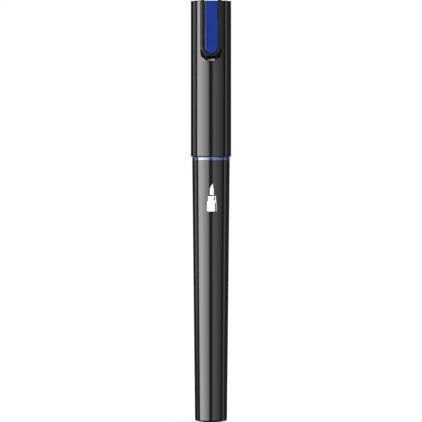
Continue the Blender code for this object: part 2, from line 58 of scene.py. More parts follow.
# The photograph's frame: the marker's axis is its middle column
PIXELS = 422
PIXEL = MM / 3
TAIL_ROW = 422.3  # the row of the marker's tail end, just below the picture
CAMERA_DISTANCE = 5000 * MM
CAMERA_CLIP_START = 10 * MM

# Edges and gaps of the skins
FRAME_ROUND = 0.33 * MM  # of the frame's own edge at the barrel's tail end
CAP_TOP_ROUND = 0.08 * MM
CAP_MOUTH_ROUND = 0.27 * MM
CAP_MOUTH_CHAMFER = 0.16 * MM
BARREL_TAIL_ROUND = 0.06 * MM
BARREL_LIP_ROUND = 0.03 * MM
EVEN_BAND = 0.03 * MM  # next to an edge's round, where the surface is already even
TAIL_RIM_ROUND = 0.18 * MM
TAIL_FLAT_ROUND = 3.0 * MM
RING_ROUND = 0.2 * MM
SMALL_ROUND = 0.1 * MM
NOSE_ROUND = 0.5 * MM
NOSE_LENGTH = 6.1 * MM
NOSE_CONE_LENGTH = 1.0 * MM
BEAD_HALF = 0.6 * MM
HOLDER_CHAMFER = 0.35 * MM

# The cap's recess: a scoop under the clip's round end, then a flat behind the clip
RECESS_SIDE_GAP = 0.09 * MM  # between the clip's sides and the recess's
RECESS_SIDE_LIP = 0.05 * MM  # how softly the recess's side edges turn
RECESS_LIP = 0.06 * MM  # how softly the scoop's edges turn
SCOOP_LOWER = 0.1 * MM  # the scoop starts this far below the frame's recess
SCOOP_FLAT_HALF = 1.25 * MM  # half of the scoop's straight lower edge
SCOOP_SIDE = 0.3 * MM  # from the ramp to the deep part beside it
SCOOP_DIAGONAL_RISE = 2.0 * MM
SCOOP_CORNER = 0.35 * MM  # the round corners between the diagonals and the recess's sides
SCOOP_CORNER_RISE = 1.2 * MM
SCOOP_SLOPE = 0.8
SCOOP_CURVE = 1.5 * MM  # over which the ramp reaches its slope
SCOOP_STEEP = 1.6
BEAD_RISE = 0.1 * MM  # the raised rim about the scoop
BEAD_OUTSIDE = 0.7 * MM
BEAD_INSIDE = 1.5 * MM
BEAD_WHOLE = 1.0 * MM  # up to this height above the scoop's lower edge
BEAD_END = 1.9 * MM
RIB_MIDDLE = 1.75 * MM  # the ribs at both sides of the ramp
RIB_HALF = 0.2 * MM
RIB_DROP = 0.62 * MM
SHELL_LEAST_WALL = 0.3 * MM
RECESS_LEAST_LEAN = 0.5  # cosine of the angle from the clip's side, past which the cap is round

# Crown, strip and clip
CROWN_EDGE_ROUND = 0.03 * MM
RAIL_ROUND = 0.14 * MM
RAIL_FOOT = 0.5 * MM  # how deep the crown's rails reach into the dome
RAIL_NOSE = 0.7 * MM  # length of the rails' round back ends
STRIP_ROUND = 0.12 * MM
CLIP_CHAMFER = 0.33 * MM  # width of the chamfer about the clip's face
CLIP_CHAMFER_ANGLE = math.radians(45)
CLIP_SIDE_ROUND = 0.1 * MM  # between face and chamfer along the clip's sides
CLIP_END_ROUND = 0.5 * MM  # and round its lower end
CLIP_FACE_LEAN = math.radians(4)  # the face is a little convex: its lean at the outer edge
CLIP_FACE_REACH = 1.3 * MM  # from the outer edge to where the insert's bed has cut the face away
CLIP_FACE_STEPS = 3
CLIP_BED_ROUND = 0.09 * MM
CLIP_BED_LIFT = NEAR / 10  # keeps the bed's round clear of the clip's face
CLIP_GROOVE = 0.25 * MM  # dark groove between the clip's rails and its insert
INSERT_SIDE_INSET = 0.16 * MM
INSERT_ROUND = 0.34 * MM
INSERT_ROUND_DEPTH = 0.18 * MM
NUB_ROUND = 0.2 * MM
NUB_HALF = 0.45 * MM
NUB_REACH = 1.8 * MM
CROWN_ROOT_INSET = 0.3 * MM
CLIP_HINGE_GAP = 0.15 * MM  # between the clip's root and the crown

# Brush nib
NIB_FLUTES = 26
NIB_FLUTE_DEPTH = 0.022 * MM
NIB_BELLY = 0.2 * MM
NIB_BELLY_SHARE = 0.6
NIB_POINT_POWER = 2.4
NIB_TIP_RADIUS = 0.16 * MM
NIB_RINGS = 40
NIB_RING_POWER = 1.5  # brings the rings closer together towards the point
NIB_FLUTE_START = 0.1  # part of the brush's length over which the flutes deepen

# Valve spring
SPRING_TURNS = 7
SPRING_END_TURNS = 1.0
SPRING_WIRE = 0.22 * MM
SPRING_WIRE_SIDES = 12
SPRING_STEPS = 28

# Printed sign of a brush tip, as rows of (height, left, right) in millimetres from its lower middle
SIGN_ROW = 211.42  # the row of its lower edge
SIGN_COLUMN = 211.72
SIGN_PROUD = 0.012 * MM
SIGN_FOOT = 0.05 * MM
SIGN_COLUMNS = 8
SIGN_BODY = [
    (0, -1.56, 1.08),
    (2.57, -1.56, 1.08),
    (2.77, -1.56, 1.16),
    (3.07, -1.56, 1.08),
    (3.14, -1.56, 1.03),
    (3.47, -1.26, 0.83),
    (3.74, -1.26, 0.78),
    (3.87, -1.26, 0.67),
    (4.83, -1.26, 0.67),
    (4.87, -1.26, 1.39),
    (5.04, -1.25, 1.39),
    (5.11, -1.19, 1.33),
]
SIGN_BAR = [
    (0, 1.43, 1.57),
    (2.57, 1.43, 1.57),
    (2.77, 1.29, 1.57),
    (3.07, 1.23, 1.57),
    (3.27, 1.11, 1.53),
    (3.47, 0.98, 1.44),
    (3.74, 0.93, 1.4),
    (3.87, 1.09, 1.4),
    (4.8, 1.09, 1.4),
]
SIGN_BRUSH = [
    (5.47, -0.62, 0.68),
    (7.34, -0.62, 0.68),
    (7.64, -0.56, 0.58),
    (7.97, -0.46, 0.49),
    (8.31, -0.3, 0.42),
    (8.64, -0.11, 0.4),
    (8.97, 0.14, 0.4),
    (9.24, 0.36, 0.41),
]

# Colours, as linear light
BLACK = (0.0030, 0.0030, 0.0032)
BLACK_LIGHT = (0.0042, 0.0042, 0.0045)
GRIP_BLACK = (0.012, 0.012, 0.0125)
GRIP_LIGHT = (0.017, 0.017, 0.0175)
BLUE = (0.0057, 0.0232, 0.1746)
BLUE_LIGHT = (0.0082, 0.0265, 0.1901)
RING_BLUE = (0.005, 0.024, 0.185)
RING_BLUE_LIGHT = (0.008, 0.03, 0.21)
NATURAL = (0.7, 0.7, 0.66)
NATURAL_LIGHT = (0.78, 0.78, 0.75)
FIBRE = (0.008, 0.03, 0.22)
FIBRE_LIGHT = (0.03, 0.07, 0.36)
STEEL = (0.52, 0.52, 0.53)
STEEL_LIGHT = (0.66, 0.66, 0.66)
RUBBER = (0.016, 0.016, 0.017)
RUBBER_LIGHT = (0.028, 0.028, 0.029)
INK = (0.68, 0.68, 0.675)
INK_LIGHT = (0.72, 0.72, 0.72)
WHITE = (1, 1, 1, 1)

# Noise in the finishes
NOISE_LOW = 0.3  # the range of the noise that is spread over a range of looks
NOISE_HIGH = 0.7
MOTTLE = 400  # features per metre
MOTTLE_DETAIL = 4
GRAIN_DETAIL = 2

# Studio lights, each as radiance by degrees about the marker from its front to its right, and
# as a share of that by degrees of height
FRONT_STRIPS = [
    (-87.3, 0.02),
    (-84, 7.7),
    (-70, 8.5),
    (-62, 8.55),
    (-38, 5.95),
    (-13.2, 3.0),
    (-11.2, 0.2),
    (9.2, 0.2),
    (11.3, 1.75),
    (26, 1.68),
    (50, 1.05),
    (63, 0.68),
    (70, 0.53),
    (77, 0.28),
    (79.5, 0.02),
]
FRONT_WINDOW = [(-21, 0), (-17, 1), (7, 1), (11, 0)]
LEFT_EDGE_STRIP = [(-126, 0), (-123.5, 0.95), (-112, 1.05), (-106, 0.95), (-99.5, 0.9), (-97.5, 0)]
LEFT_EDGE_WINDOW = [(-16, 0), (-8, 0.35), (-4, 0.35), (0, 1), (7, 1), (11, 0)]
RIGHT_EDGE_STRIP = [
    (88.5, 0),
    (91, 1.0),
    (103, 1.0),
    (106, 0.2),
    (127, 0.08),
    (142, 0.06),
    (150, 0),
]
RIGHT_EDGE_WINDOW = [(-16, 0), (-8, 1), (7, 1), (11, 0)]
FLOOR_GLOW = [
    (-90, 0),
    (-80, 0.9),
    (-68, 3.6),
    (-55, 3.8),
    (-38, 3.4),
    (-26, 2.8),
    (-13.2, 2.0),
    (-11.2, 0.5),
    (9.2, 0.5),
    (11.3, 2.6),
    (26, 2.8),
    (50, 1.8),
    (63, 0.5),
    (75, 0),
]
FLOOR_WINDOW = [(-80, 0), (-60, 0.25), (-45, 0.5), (-37, 1), (-30, 0.45), (-21, 0.35), (-17, 0)]
KEY_LOW = [(-26, 0), (-20, 3.5), (-8, 6), (2, 7.5), (22, 7.5), (28, 0)]
KEY_LOW_WINDOW = [(19, 0), (22, 1), (44, 1), (47, 0)]
KEY_HIGH = [(-2, 0), (4, 8), (24, 8), (29, 0)]
KEY_HIGH_WINDOW = [(44, 0), (47, 1), (60, 1), (63, 0)]
REAR_GLOW = [
    (-172, 0),
    (-160, 0.4),
    (-115, 0.4),
    (-103, 0),
    (103, 0),
    (115, 0.4),
    (160, 0.4),
    (172, 0),
]
REAR_WINDOW = [(-75, 0), (-55, 1), (-15, 1), (-9, 0)]
CEILING = [(-140, 0.15), (-100, 0.65), (100, 0.65), (140, 0.15)]
CEILING_WINDOW = [(8, 0), (16, 1)]
STUDIO_LIGHTS = [
    (FRONT_STRIPS, FRONT_WINDOW),
    (LEFT_EDGE_STRIP, LEFT_EDGE_WINDOW),
    (RIGHT_EDGE_STRIP, RIGHT_EDGE_WINDOW),
    (FLOOR_GLOW, FLOOR_WINDOW),
    (KEY_LOW, KEY_LOW_WINDOW),
    (KEY_HIGH, KEY_HIGH_WINDOW),
    (REAR_GLOW, REAR_WINDOW),
    (CEILING, CEILING_WINDOW),
]

# Floor
FLOOR_RADIUS = 1500 * MM
FLOOR_DARK = (0.61, 0.61, 0.61)
FLOOR_LIGHT = (0.63, 0.63, 0.63)
FLOOR_LIFT = 0.5
FLOOR_MOTTLE = 30
FLOOR_DETAIL = 3
FLOOR_ROUGHNESS = 0.9
FLOOR_SPECULAR = 0.1

# Fineness of round shapes
SEGMENTS = 144
SMALL_SEGMENTS = 72
CORNER_STEPS = 6
ARC_STEPS = 40
SHARP_ANGLE = math.radians(38)
BEVEL_ANGLE = math.radians(40)
BEVEL_SEGMENTS = 4
MERGE_GAP = 1e-8
AXIS_MERGE_GAP = 1e-7  # for the points that a spin leaves on the axis
FULL_TURN = 360
FINE_ANGLE = 0.375  # degrees between the cap's points across the recess
FINE_STEPS = 128  # to each side of its middle
COARSE_ANGLE = 3  # degrees between the cap's other points
SCOOP_BAND_ABOVE = 3.2 * MM  # from the recess's lower end, where the cap's levels are close
SCOOP_BAND_BELOW = 0.8 * MM
FLAT_LEVELS = 16
SCOOP_LEVELS = 72
SKIRT_LEVELS = 8


def points_of(node):
    return [vert.co for vert in nodes[node].data.vertices]


def radii(node, low, high):
    """The least and the greatest radius of a node's back half between two heights."""
    found = [math.hypot(p.x, p.y) for p in points_of(node) if low <= p.z <= high and p.y > 0]
    return min(found), max(found)


def radii_at(node, height):
    return radii(node, height - NEAR, height + NEAR)


def heights(node, radius):
    """The heights of a node's points at one radius, lowest first."""
    return sorted(p.z for p in points_of(node) if abs(math.hypot(p.x, p.y) - radius) < NEAR)


# Measures of the frame
barrel_low, barrel_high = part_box("barrel")
plug_low, plug_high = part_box("tail_plug")
ring_low, ring_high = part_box("collar_ring")
section_low, section_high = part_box("front_section")
shell_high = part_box("cap_shell")[1]
crown_low, crown_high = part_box("crown")
strip_low, strip_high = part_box("crown_insert")
clip_low, clip_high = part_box("clip")
insert_low, insert_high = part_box("clip_insert")
liner_low, liner_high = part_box("inner_cap")
holder_low, holder_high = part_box("nib_holder")
nib_low, nib_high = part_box("brush_nib")
spring_low, spring_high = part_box("valve_spring")

mouth_bore, barrel_radius = radii_at("barrel", barrel_high.z)
tail_bore, tail_radius = radii("barrel", barrel_low.z - NEAR, barrel_low.z + 2 * FRAME_ROUND)
cap_radius = shell_high.x
liner_flange_top = heights("inner_cap", liner_high.x)[-1]
upper_bore, cap_bore = radii("cap_shell", liner_flange_top, liner_flange_top + SEAT_GAP + NEAR)
crown_well = radii_at("cap_shell", shell_high.z)[0]
crown_well_floor = min(z for z in heights("cap_shell", crown_well) if z > liner_high.z)
recess_floor = -min(p.y for p in points_of("cap_shell") if p.z > shell_high.z - NEAR)
recess_bottom = min(
    p.z for p in points_of("cap_shell") if -p.y > cap_radius - NEAR and p.z > liner_flange_top
)
clip_half = clip_high.x
clip_arc_height = clip_low.z + clip_half
insert_half = insert_high.x - INSERT_SIDE_INSET
insert_arc_height = insert_low.z + insert_half
bed_half = insert_half + CLIP_GROOVE
clip_back = strip_low.y - CLIP_HINGE_GAP
crown_radius = radii("crown", crown_well_floor, shell_high.z)[1]
rail_end = max(p.y for p in points_of("crown") if p.x > clip_half - NEAR and p.z > shell_high.z)
dome_points = [p for p in points_of("crown") if p.x > clip_half + NEAR and p.z > shell_high.z]
dome_edge = min(p.z for p in dome_points)
dome_mark = max(dome_points, key=lambda p: p.z)
dome_mark_radius = math.hypot(dome_mark.x, dome_mark.y)
dome_middle = (crown_radius**2 + dome_edge**2 - dome_mark_radius**2 - dome_mark.z**2) / (
    2 * (dome_edge - dome_mark.z)
)
dome_sphere = math.hypot(crown_radius, dome_edge - dome_middle)
recess_half = clip_half + RECESS_SIDE_GAP
cap_mouth = ring_high.z + NEAR
valve_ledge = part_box("valve_seat")[1].z + SEAT_GAP
nib_chamber, valve_bore = radii_at("front_section", valve_ledge)
nib_ledge = heights("front_section", nib_chamber)[-1]
sign_low = (TAIL_ROW - SIGN_ROW) * PIXEL
sign_middle = (SIGN_COLUMN - PIXELS / 2) * PIXEL


def loose(name, data):
    """An object in the scene, which is no piece of the marker yet."""
    made = bpy.data.objects.new(name, data)
    bpy.context.scene.collection.objects.link(made)
    return made


def add_piece(name, mesh, body, slot, *replaced):
    """A new piece that rides on a body and stands for CAD nodes, which it hides. The slot is not
    used.
    """
    made = loose(name, mesh)
    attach(made, body)
    if replaced:
        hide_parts(*replaced)
    return made


def finished(name, shape):
    """A smooth mesh from a bmesh, with edges sharper than the limit kept sharp."""
    bmesh.ops.remove_doubles(shape, verts=shape.verts, dist=MERGE_GAP)
    bmesh.ops.recalc_face_normals(shape, faces=shape.faces)
    mesh = bpy.data.meshes.new(name)
    shape.to_mesh(mesh)
    shape.free()
    mesh.shade_smooth()
    mesh.set_sharp_from_angle(angle=SHARP_ANGLE)
    return mesh


def arc_corner(before, corner, after, radius):
    """Points of the arc that rounds a corner of an outline."""
    here = Vector(corner)
    back = (Vector(before) - here).normalized()
    ahead = (Vector(after) - here).normalized()
    half = back.angle(ahead) / 2
    reach = radius / math.tan(half)
    centre = here + (back + ahead).normalized() * (radius / math.sin(half))
    start = here + back * reach - centre
    end = here + ahead * reach - centre
    swing = start.angle(end)
    points = []
    for step in range(CORNER_STEPS + 1):
        share = step / CORNER_STEPS
        mixed = start * math.sin((1 - share) * swing) + end * math.sin(share * swing)
        points.append(tuple(centre + mixed / math.sin(swing)))
    return points


def rounded(outline):
    """An outline of (x, y) or (x, y, corner radius) with its corners rounded."""
    flat = [point[:2] for point in outline]
    points = []
    for index, point in enumerate(outline):
        if len(point) == 2:
            points.append(point)
            continue
        before = flat[index - 1]
        after = flat[(index + 1) % len(flat)]
        points.extend(arc_corner(before, flat[index], after, point[2]))
    return points


def joined_loops(shape, loops, closed):
    """Faces between loops of points, each loop closed; the stack of loops is closed or capped."""
    rows = [[shape.verts.new(point) for point in loop] for loop in loops]
    pairs = list(zip(rows, rows[1:]))
    if closed:
        pairs.append((rows[-1], rows[0]))
    for one, other in pairs:
        for index in range(len(one)):
            shape.faces.new((one[index - 1], one[index], other[index], other[index - 1]))
    if not closed:
        shape.faces.new(rows[0])
        shape.faces.new(list(reversed(rows[-1])))


def loop_mesh(name, loops, closed=False):
    shape = bmesh.new()
    joined_loops(shape, loops, closed)
    return finished(name, shape)


def turned(name, outline, segments=SEGMENTS):
    """A closed (radius, height) outline spun about Z. Points on the axis become one point."""
    shape = bmesh.new()
    verts = [shape.verts.new((radius, 0, height)) for radius, height in rounded(outline)]
    edges = [shape.edges.new((verts[index - 1], verts[index])) for index in range(len(verts))]
    bmesh.ops.spin(
        shape,
        geom=verts + edges,
        axis=(0, 0, 1),
        angle=math.tau,
        steps=segments,
        use_merge=True,
    )
    bmesh.ops.remove_doubles(shape, verts=shape.verts, dist=AXIS_MERGE_GAP)
    bmesh.ops.dissolve_degenerate(shape, edges=shape.edges, dist=MERGE_GAP)
    return finished(name, shape)


def turned_piece(name, outline, *claims, segments=SEGMENTS):
    """A turned piece, with its body, slot and the node that it stands for."""
    return add_piece(name, turned(name, outline, segments), *claims)


def tongue(half, arc_height, end_height):
    """A strip with a round lower end: (across, up) points."""
    points = [(half, end_height)]
    for step in range(ARC_STEPS + 1):
        angle = math.pi * step / ARC_STEPS
        points.append((half * math.cos(angle), arc_height - half * math.sin(angle)))
    return points + [(-half, end_height)]


def edge_steps(width, depth):
    """(inset, rise) along a quarter of an ellipse, from an edge's side to its face."""
    steps = []
    for step in range(CORNER_STEPS + 1):
        angle = math.pi / 2 * step / CORNER_STEPS
        steps.append((width * (1 - math.cos(angle)), depth * math.sin(angle)))
    return steps


def upright(outline, y):
    """The points of an (across, up) outline at one Y value."""
    return [(x, y, z) for x, z in outline]


def front_prism(name, outline, near, far):
    """An (across, up) outline, extruded from one Y value to another."""
    return loop_mesh(name, [upright(outline, y) for y in (near, far)])


def crown_band(name, half, front, reach, low, high):
    """A band across the crown, from its front to a circle about the axis at its back."""
    turn = math.asin(half / reach)
    outline = [(half, front)]
    for step in range(ARC_STEPS + 1):
        angle = turn * (1 - 2 * step / ARC_STEPS)
        outline.append((reach * math.sin(angle), reach * math.cos(angle)))
    outline.append((-half, front))
    return loop_mesh(name, [[(x, y, z) for x, y in outline] for z in (low, high)])


def bevel(item, width):
    step = item.modifiers.new("edges", "BEVEL")
    step.width = width
    step.segments = BEVEL_SEGMENTS
    step.limit_method = "ANGLE"
    step.angle_limit = BEVEL_ANGLE
    step.use_clamp_overlap = True


def combine(item, other, operation):
    step = item.modifiers.new(other.name, "BOOLEAN")
    step.operation = operation
    step.solver = "EXACT"
    step.object = other


def applied(item):
    seen = item.evaluated_get(bpy.context.evaluated_depsgraph_get())
    return bpy.data.meshes.new_from_object(seen)


def settled(name, item, *tools):
    """The mesh of an object with its modifiers applied; the object and its tools are removed."""
    mesh = applied(item)
    for used in (item, *tools):
        bpy.data.objects.remove(used, do_unlink=True)
    mesh.set_sharp_from_angle(angle=SHARP_ANGLE)
    shaded = loose(name, mesh)
    even = shaded.modifiers.new("normals", "WEIGHTED_NORMAL")
    even.keep_sharp = True
    mesh = applied(shaded)
    bpy.data.objects.remove(shaded, do_unlink=True)
    mesh.name = name
    return mesh


def smooth_step(low, high, value):
    share = min(max((value - low) / (high - low), 0), 1)
    return share * share * (3 - 2 * share)


def smooth_least(one, other, reach):
    """The lesser of two lengths, rounded where they meet."""
    blend = max(reach - abs(one - other), 0) / reach
    return min(one, other) - blend * blend * reach / 4


# Barrel, tail plug and collar ring


def barrel_outer(height):
    share = (height - barrel_low.z) / (barrel_high.z - barrel_low.z)
    return tail_radius + (barrel_radius - tail_radius) * share


def build_barrel():
    step = section_low.z - NEAR
    bore_at_step = tail_bore + barrel_outer(step) - tail_radius
    outline = [
        (barrel_radius, barrel_high.z, BARREL_LIP_ROUND),
        (tail_radius, barrel_low.z, BARREL_TAIL_ROUND),
        (tail_bore, barrel_low.z),
        (bore_at_step, step),
        (mouth_bore, step),
        (mouth_bore, barrel_high.z),
    ]
    return turned_piece("barrel_skin", outline, "barrel", "gloss_black", "barrel")


def build_tail_plug():
    rim = plug_high.x
    flat = radii("tail_plug", plug_low.z, plug_low.z + NEAR)[1]
    rim_top = barrel_low.z - NEAR
    skirt = radii_at("tail_plug", plug_high.z)
    floor = heights("tail_plug", skirt[0])[0]
    cone_top = heights("tail_plug", rim)[0]
    outline = [
        (0, plug_low.z),
        (flat, plug_low.z, TAIL_FLAT_ROUND),
        (rim, cone_top, TAIL_RIM_ROUND),
        (rim, rim_top),
        (skirt[1], rim_top),
        (skirt[1], plug_high.z),
        (skirt[0], plug_high.z),
        (skirt[0], floor),
        (0, floor),
    ]
    return turned_piece("tail_plug_skin", outline, "barrel", "gloss_black", "tail_plug")


def build_collar_ring():
    bore = radii("collar_ring", ring_low.z, ring_high.z)[0]
    foot = barrel_high.z + NEAR
    outline = [
        (ring_high.x, ring_high.z, RING_ROUND),
        (ring_high.x, ring_high.z - RING_ROUND - EVEN_BAND),
        (ring_high.x, foot + BARREL_LIP_ROUND + EVEN_BAND),
        (ring_high.x, foot, BARREL_LIP_ROUND),
        (bore, foot),
        (bore, ring_high.z),
    ]
    return turned_piece("collar_ring_skin", outline, "barrel", "ink_blue", "collar_ring")


# Cap shell, whose outside is a radius for each angle from the clip's side and each height


def scoop_edge(across):
    """The height of the scoop's outline at a distance from its middle."""
    beyond = max(abs(across) - SCOOP_FLAT_HALF, 0)
    diagonal = SCOOP_DIAGONAL_RISE * beyond / (recess_half - SCOOP_FLAT_HALF)
    corner = max(abs(across) - recess_half + SCOOP_CORNER, 0) / SCOOP_CORNER
    return recess_bottom - SCOOP_LOWER + diagonal + SCOOP_CORNER_RISE * corner**3


def scoop_drop(across, height):
    """How deep the scoop lies under the cap's round surface: a curved ramp, steeper beside it."""
    above = max(height - scoop_edge(across), 0)
    curve = min(above, SCOOP_CURVE)
    ramp = SCOOP_SLOPE * (curve * curve / (2 * SCOOP_CURVE) + max(above - SCOOP_CURVE, 0))
    side = smooth_step(SCOOP_FLAT_HALF, SCOOP_FLAT_HALF + SCOOP_SIDE, abs(across))
    return ramp + (SCOOP_STEEP * above - ramp) * side


def rib_radius(across):
    """The radius of the rounded upright rib at each side of the ramp, or nothing beside it."""
    top = cap_radius - RIB_DROP
    beside = abs(across) * top / cap_radius - RIB_MIDDLE
    return top - RIB_HALF + math.sqrt(RIB_HALF**2 - beside**2) if abs(beside) < RIB_HALF else 0


def segment_distance(point, start, end):
    along = end - start
    share = min(max((point - start).dot(along) / along.length_squared, 0), 1)
    return (point - start - along * share).length


def bead_rise(across, height):
    """The height of the soft raised rim about the scoop's outline."""
    point = Vector((abs(across), height - recess_bottom))
    corners = [
        Vector((0, 0)),
        Vector((SCOOP_FLAT_HALF, 0)),
        Vector((recess_half, SCOOP_DIAGONAL_RISE)),
    ]
    away = min(segment_distance(point, one, other) for one, other in zip(corners, corners[1:]))
    inside = abs(across) < recess_half and height > scoop_edge(across)
    fade = 1 - smooth_step(BEAD_WHOLE, BEAD_END, point.y)
    return BEAD_RISE * fade * (1 - smooth_step(0, BEAD_INSIDE if inside else BEAD_OUTSIDE, away))


def shell_outer(angle, height):
    """The cap's outer radius, with the recess's scoop, flat and side walls."""
    lean = math.cos(angle)
    across = cap_radius * math.sin(angle)
    if lean <= RECESS_LEAST_LEAN:
        return cap_radius
    cut = max(recess_floor / lean, cap_radius - scoop_drop(across, height), rib_radius(across))
    inside = smooth_step(-RECESS_SIDE_LIP, 0, recess_half - abs(across))
    drop = (cap_radius - smooth_least(cut, cap_radius, RECESS_LIP)) * inside
    return cap_radius - drop + bead_rise(across, height)


def shell_angles():
    """Angles about the axis, close together across the recess."""
    fine = [math.radians(FINE_ANGLE * step) for step in range(-FINE_STEPS, FINE_STEPS + 1)]
    span = FINE_ANGLE * FINE_STEPS
    count = round((FULL_TURN - 2 * span) / COARSE_ANGLE)
    coarse = [math.radians(span + COARSE_ANGLE * step) for step in range(1, count)]
    return fine + coarse


def levels_down(start, end, count):
    """Even levels below a start, down to an end."""
    return [start - (start - end) * step / count for step in range(1, count + 1)]


def shell_levels():
    """Heights from the cap's top edge to its mouth, close together at the scoop."""
    top = shell_high.z - CAP_TOP_ROUND
    even_top = top - EVEN_BAND
    high = recess_bottom + SCOOP_BAND_ABOVE
    low = recess_bottom - SCOOP_BAND_BELOW
    bottom = cap_mouth + CAP_MOUTH_ROUND
    flat = levels_down(even_top, high, FLAT_LEVELS)
    scoop = levels_down(high, low, SCOOP_LEVELS)
    skirt = levels_down(low, bottom + EVEN_BAND, SKIRT_LEVELS)
    return [top, even_top] + flat + scoop + skirt + [bottom]


def build_cap_shell():
    angles = shell_angles()
    ledge = liner_flange_top + NEAR

    def loop(radius_at, height):
        return [
            (radius_at(a) * math.sin(a), -radius_at(a) * math.cos(a), height) for a in angles
        ]

    def outer_loop(height, level, inset):
        return loop(lambda a: shell_outer(a, level) - inset, height)

    def inner_loop(radius, height, level):
        return loop(lambda a: min(radius, shell_outer(a, level) - SHELL_LEAST_WALL), height)

    levels = shell_levels()
    top, bottom = levels[0], levels[-1]
    top_edge = edge_steps(CAP_TOP_ROUND, CAP_TOP_ROUND)[1:]
    mouth_edge = edge_steps(CAP_MOUTH_ROUND, CAP_MOUTH_ROUND)[1:]
    loops = [outer_loop(top + rise, top, inset) for inset, rise in reversed(top_edge)]
    loops += [outer_loop(level, level, 0) for level in levels]
    loops += [outer_loop(bottom - rise, bottom, inset) for inset, rise in mouth_edge]
    loops += [
        inner_loop(cap_bore + CAP_MOUTH_CHAMFER, cap_mouth, bottom),
        inner_loop(cap_bore, cap_mouth + CAP_MOUTH_CHAMFER, bottom),
        inner_loop(cap_bore, ledge, bottom),
        inner_loop(upper_bore, ledge, bottom),
        inner_loop(upper_bore, crown_well_floor, top),
        inner_loop(crown_well, crown_well_floor, top),
        inner_loop(crown_well, shell_high.z, top),
    ]
    mesh = loop_mesh("cap_shell_skin", loops, closed=True)
    return add_piece("cap_shell_skin", mesh, "cap", "gloss_black", "cap_shell")


# Crown, with two rails that cross it and the strip between them


def dome_height(x, y):
    """The height of the crown's dome, carried on past its edge for the rails."""
    return dome_middle + math.sqrt(dome_sphere**2 - x * x - y * y)


def build_crown():
    skirt_bore, skirt_radius = radii_at("crown", crown_low.z)
    flange = crown_well_floor + NEAR
    steps = [crown_radius * step / ARC_STEPS for step in range(ARC_STEPS, -1, -1)]
    dome = [(radius, dome_height(radius, 0)) for radius in steps]
    outline = [(*dome[0], CROWN_EDGE_ROUND)] + dome[1:] + [
        (0, flange),
        (skirt_bore, flange),
        (skirt_bore, crown_low.z),
        (skirt_radius, crown_low.z),
        (skirt_radius, flange),
        (crown_radius, flange),
    ]
    plug = loose("crown_tool", turned("crown_tool", outline))
    bed = strip_low.z - NEAR
    front = strip_low.y - MM
    band = crown_band("groove_tool", bed_half, front, crown_radius + MM, bed, crown_high.z + MM)
    groove = loose("groove_tool", band)
    combine(plug, groove, "DIFFERENCE")
    mesh = settled("crown_skin", plug, groove)
    return add_piece("crown_skin", mesh, "cap", "gloss_black", "crown")


def build_crown_rails():
    half = (clip_half - bed_half) / 2
    rise = crown_high.z - dome_height(bed_half, 0)
    left = [(-half, -RAIL_FOOT), (-half, rise, RAIL_ROUND)]
    right = [(half, rise, RAIL_ROUND), (half, -RAIL_FOOT)]
    section = rounded(left + right)
    shape = bmesh.new()
    for middle in (-bed_half - half, bed_half + half):
        loops = []
        for step in range(ARC_STEPS + 1):
            y = strip_low.y + (rail_end - strip_low.y) * step / ARC_STEPS
            along_nose = max(y - rail_end + RAIL_NOSE, 0) / RAIL_NOSE
            fall = math.sqrt(1 - along_nose**2)
            loop = []
            for across, lift in section:
                x = middle + across
                loop.append((x, y, dome_height(x, y) + (lift * fall if lift > 0 else lift)))
            loops.append(loop)
        joined_loops(shape, loops, closed=False)
    return add_piece("crown_rails", finished("crown_rails", shape), "cap", "gloss_black", "crown")


def build_crown_root():
    """The block that fills the recess's open top behind the clip's root, under rails and strip."""
    half = clip_half - CROWN_ROOT_INSET
    low = crown_well_floor + NEAR
    high = dome_height(0, strip_low.y)
    bed = strip_low.z - NEAR
    outline = [
        (-half, low),
        (half, low),
        (half, high),
        (bed_half, high),
        (bed_half, bed),
        (-bed_half, bed),
        (-bed_half, high),
        (-half, high),
    ]
    prism = front_prism("root_tool", outline, clip_back + NEAR, -recess_floor - NEAR)
    block = loose("root_tool", prism)
    bevel(block, SMALL_ROUND)
    mesh = settled("crown_root", block)
    return add_piece("crown_root", mesh, "cap", "gloss_black", "crown")


def build_crown_strip():
    """The blue strip that carries the clip's insert on across the crown."""
    low, high = strip_low, strip_high
    band = crown_band("strip_tool", insert_half, low.y, high.y, low.z, high.z)
    strip = loose("strip_tool", band)
    bevel(strip, STRIP_ROUND)
    mesh = settled("crown_strip", strip)
    return add_piece("crown_strip", mesh, "cap", "ink_blue", "crown_insert")


# Clip and its insert


def clip_face(inset):
    """The depth of the clip's slightly convex face."""
    bow = (CLIP_FACE_REACH**2 - inset**2) / (2 * clip_half)
    return math.tan(CLIP_FACE_LEAN) * (CLIP_FACE_REACH - inset - bow)


def clip_edge(share):
    """(inset, depth) steps of the clip's edge: chamfer, the round beside it, and the face."""
    bend = CLIP_SIDE_ROUND + (CLIP_END_ROUND - CLIP_SIDE_ROUND) * share
    turn = CLIP_CHAMFER_ANGLE - CLIP_FACE_LEAN
    reach = bend * math.tan(turn / 2)
    start = CLIP_CHAMFER - reach * math.cos(CLIP_CHAMFER_ANGLE)
    corner = clip_face(CLIP_CHAMFER)
    depth = corner + reach * math.sin(CLIP_CHAMFER_ANGLE)
    steps = [(0, corner + CLIP_CHAMFER * math.tan(CLIP_CHAMFER_ANGLE))]
    for step in range(CORNER_STEPS + 1):
        angle = CLIP_CHAMFER_ANGLE - turn * step / CORNER_STEPS
        inset = start + bend * (math.sin(CLIP_CHAMFER_ANGLE) - math.sin(angle))
        steps.append((inset, depth - bend * (math.cos(angle) - math.cos(CLIP_CHAMFER_ANGLE))))
    last = steps[-1][0]
    for step in range(1, CLIP_FACE_STEPS + 1):
        inset = last + (CLIP_FACE_REACH - last) * step / CLIP_FACE_STEPS
        steps.append((inset, clip_face(inset)))
    return steps


